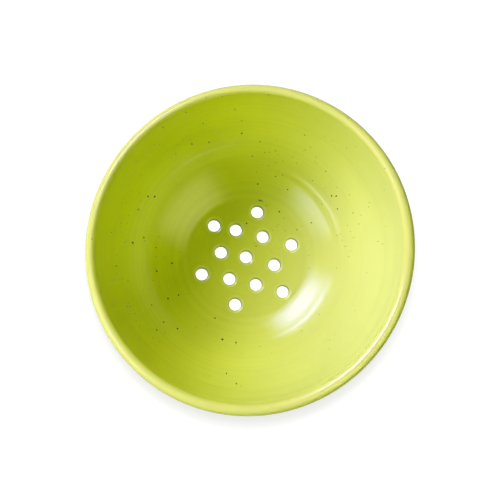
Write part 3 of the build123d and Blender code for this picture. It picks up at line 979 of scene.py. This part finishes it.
def area_lamp(name, width, height, white, colour, lights, way, aim, axes):
    """A rectangular lamp that stands off one way from a height on the axis, with its own axes as the columns
    of a matrix, and lights one collection. white is how many times brighter than white paper its face is,
    which sets its power: pi times area times that."""
    data = bpy.data.lights.new(name, "AREA")
    data.shape = "RECTANGLE"
    data.size, data.size_y = width, height
    data.energy = float(np.pi * width * height * white)
    data.color = linear(colour)[:3]
    made = placed(name, data)
    made.visible_camera = False
    made.light_linking.receiver_collection = lights
    place = Vector(way) * LAMP_DISTANCE + Vector((0, 0, aim))
    made.matrix_world = Matrix.Translation(place) @ Matrix(axes).to_4x4()
    return made


def lamp(name, azimuth, elevation, width, height, white, lights, colour="#FFFFFF"):
    """A soft lamp aimed at the bowl, for the shading; the highlights have lamps of their own. Azimuth is as
    the picture shows it, anticlockwise from the right."""
    way = direction(np.radians(azimuth) + VIEW_TURN, np.radians(elevation))
    axes = Vector(way).to_track_quat("Z", "Y").to_matrix()
    made = area_lamp(name, width, height, white, colour, lights, way, LAMP_AIM, axes)
    made.visible_glossy = False


def mirrored(turn, radius):
    """The direction in which the smooth inside mirrors the camera's line at a place, d - 2 (d.n) n, and the
    one in which a level floor would."""
    z, nr, nz = (np.interp(radius, INSIDE[:, 0], v) for v in (INSIDE[:, 1], *INSIDE_NORMAL.T))
    line = round_axis(radius, turn, z) * MM - np.array(where.translation)
    line /= np.linalg.norm(line)
    normal = round_axis(nr, turn, nz)
    return line - 2 * line.dot(normal) * normal, line * np.array([1, 1, -1])


def highlight(name, azimuth, inner, outer, full, none, fade, white, colour):
    """A lamp that shows on the bowl as a highlight about an azimuth of the picture, from one radius to
    another, full to one angle on both sides and gone from another. It stands where the bowl mirrors the
    camera's line at those radii. Its sides are lines that meet where a level floor would mirror that line, so
    the sideways place over the distance from there tells the angle. fade is how much of the face's height it
    fades over at its inner and its outer end."""
    turn = np.radians(azimuth) + VIEW_TURN
    first, level_way = mirrored(turn, inner)
    last, _ = mirrored(turn, outer)
    way = (first + last) / np.linalg.norm(first + last)
    upward = first - first.dot(way) * way
    upward /= np.linalg.norm(upward)
    height = 2 * LAMP_DISTANCE * np.tan(np.arccos(np.clip(first.dot(way), -1, 1)))
    over = LAMP_DISTANCE * level_way.dot(upward) / level_way.dot(way)
    none_slope, full_slope = (float(np.tan(np.radians(a)) * way.dot(level_way)) for a in (none, full))
    width = 2 * (over + height / 2) * none_slope
    axes = np.column_stack([np.cross(upward, way), upward, way]).tolist()
    made = area_lamp(name, width, height, white, colour, bowl_only, way, HIGHLIGHT_AIM, axes)
    made.visible_diffuse = False
    made.data.use_nodes = True
    tree = made.data.node_tree
    tree.nodes.clear()
    face = add(tree, "ShaderNodeNewGeometry").outputs["Parametric"]
    face = add(tree, "ShaderNodeSeparateXYZ", {0: face}).outputs
    x = add(tree, "ShaderNodeMath", {0: face["X"], 1: width, 2: -width / 2}, operation="MULTIPLY_ADD")
    x = add(tree, "ShaderNodeMath", {0: x}, operation="ABSOLUTE")
    fall = {0: face["Y"], 1: -height, 2: over + height / 2}
    y = add(tree, "ShaderNodeMath", fall, operation="MULTIPLY_ADD")
    slope = add(tree, "ShaderNodeMath", {0: x, 1: y}, operation="DIVIDE")
    strength = 1.0
    for value, start, stop in (
        (slope, none_slope, full_slope),
        (face["Y"], 1.0, 1.0 - fade[0]),
        (face["Y"], 0.0, fade[1]),
    ):
        between = {"Value": value, "From Min": start, "From Max": stop}
        edge = add(tree, "ShaderNodeMapRange", between, interpolation_type="SMOOTHSTEP")
        strength = add(tree, "ShaderNodeMath", {0: strength, 1: edge}, operation="MULTIPLY")
    add(tree, "ShaderNodeOutputLight", {0: add(tree, "ShaderNodeEmission", {"Strength": strength})})


# A little violet in the lamps on the left and in the highlights makes their light on lime read as white
lamp("upper_left_lamp", 140, 39.5, 0.70, 0.30, 20.9, bowl_only, "#EDE8FF")
lamp("left_lamp", 210, 28, 0.40, 0.36, 12.8, bowl_only, "#EDE8FF")
lamp("lower_right_lamp", 294, 40, 0.90, 0.40, 3.55, bowl_only, "#EFFF50")
lamp("upper_right_lamp", 50, 43, 0.60, 0.40, 2.0, bowl_only, "#EFFF50")
lamp("paper_lamp", 174, 87.9, 0.10, 0.10, 412.0, paper_only)
highlight("key_highlight", -40.5, 28.6, 42.6, 5, 33, (0.20, 0.47), 19.5, "#B4AAFF")
highlight("upper_right_highlight", 35, 26.5, 43.2, 8, 26, (0.85, 0.12), 5.4, "#C8C0FF")
highlight("left_highlight", 138, 28.4, 50.0, 10, 34, (0.1, 0.6), 3.0, "#FFECBC")

# World: white to the camera and through clear things, a soft fill to everything else
world = bpy.data.worlds.new("studio")
world.use_nodes = True
bpy.context.scene.world = world
tree = world.node_tree
tree.nodes.clear()
path = add(tree, "ShaderNodeLightPath").outputs
rays = {0: path["Is Camera Ray"], 1: path["Is Transmission Ray"]}
seen = add(tree, "ShaderNodeMath", rays, operation="MAXIMUM")
fill = add(tree, "ShaderNodeBackground", {"Color": linear("#F0FF70"), "Strength": FILL_STRENGTH})
white = add(tree, "ShaderNodeBackground", {"Color": linear("#FFFFFF"), "Strength": 1.0})
mix = add(tree, "ShaderNodeMixShader", {0: seen, 1: fill, 2: white})
add(tree, "ShaderNodeOutputWorld", {"Surface": mix})

bpy.context.scene.view_settings.view_transform = "Standard"
